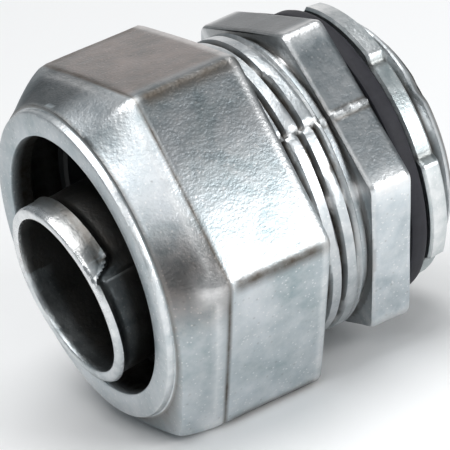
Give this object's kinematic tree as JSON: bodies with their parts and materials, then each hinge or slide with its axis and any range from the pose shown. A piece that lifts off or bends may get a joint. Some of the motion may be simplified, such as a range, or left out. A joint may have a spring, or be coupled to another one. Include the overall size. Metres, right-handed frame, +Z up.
{
  "type": "liquid-tight conduit connector",
  "caption": "Straight cast zinc connector that clamps jacketed flexible conduit in a hexagonal compression nut and locks its threaded hub to a box wall.",
  "frame": {"origin": "on the fitting's axis, at the centre of its bounding box", "axes": "+X runs along the axis from the mouth that takes the conduit to the hub that goes through the box wall; +Z is up, away from the nut flat that it lies on; +Y completes a right-handed frame"},
  "size_m": [0.032, 0.0322, 0.0286],
  "materials": {
    "body_zinc": "as-cast zinc alloy, satin grey with a fine cast grain and a parting line",
    "nut_zinc": "as-cast zinc alloy, tumbled, satin grey with speckled flats and bright worn edges",
    "ring_plastic": "hard dark grey nylon",
    "ferrule_zinc": "as-cast zinc alloy, brighter at the rim",
    "gasket_rubber": "black nitrile rubber, slightly shiny",
    "locknut_zinc": "as-cast zinc alloy, satin grey"
  },
  "bodies": {
    "connector_body": {"connector_body": "body_zinc"},
    "sealing_ring": {"sealing_ring": "ring_plastic"},
    "compression_nut": {"compression_nut": "nut_zinc"},
    "ferrule": {"ferrule": "ferrule_zinc"},
    "sealing_gasket": {"sealing_gasket": "gasket_rubber"},
    "locknut": {"locknut": "locknut_zinc"}
  },
  "joints": [
    {"name": "nut_turn", "type": "hinge", "parent": "connector_body", "child": "sealing_ring", "pos_m": [-0.00651, 0, 0], "axis": [1, 0, 0], "range_deg": [-1200, 480]},
    {"name": "nut_travel", "type": "slide", "parent": "sealing_ring", "child": "compression_nut", "axis": [1, 0, 0], "range_m": [-0.00501, 0.00201]},
    {"name": "locknut_turn", "type": "hinge", "parent": "connector_body", "child": "sealing_gasket", "pos_m": [0.01069, 0, 0], "axis": [1, 0, 0], "range_deg": [0, 420]},
    {"name": "locknut_travel", "type": "slide", "parent": "sealing_gasket", "child": "locknut", "axis": [1, 0, 0], "range_m": [-0.00001, 0.00213]},
    {"name": "ferrule_rock", "type": "hinge", "parent": "connector_body", "child": "ferrule", "pos_m": [0.00399, 0, 0], "axis": [0, 1, 0], "range_deg": [0, 10.6]}
  ],
  "couplings": [
    {"joint": "nut_travel", "follows": "nut_turn", "m_per_rad": 0.00023873},
    {"joint": "locknut_travel", "follows": "locknut_turn", "m_per_rad": 0.00028871}
  ]
}
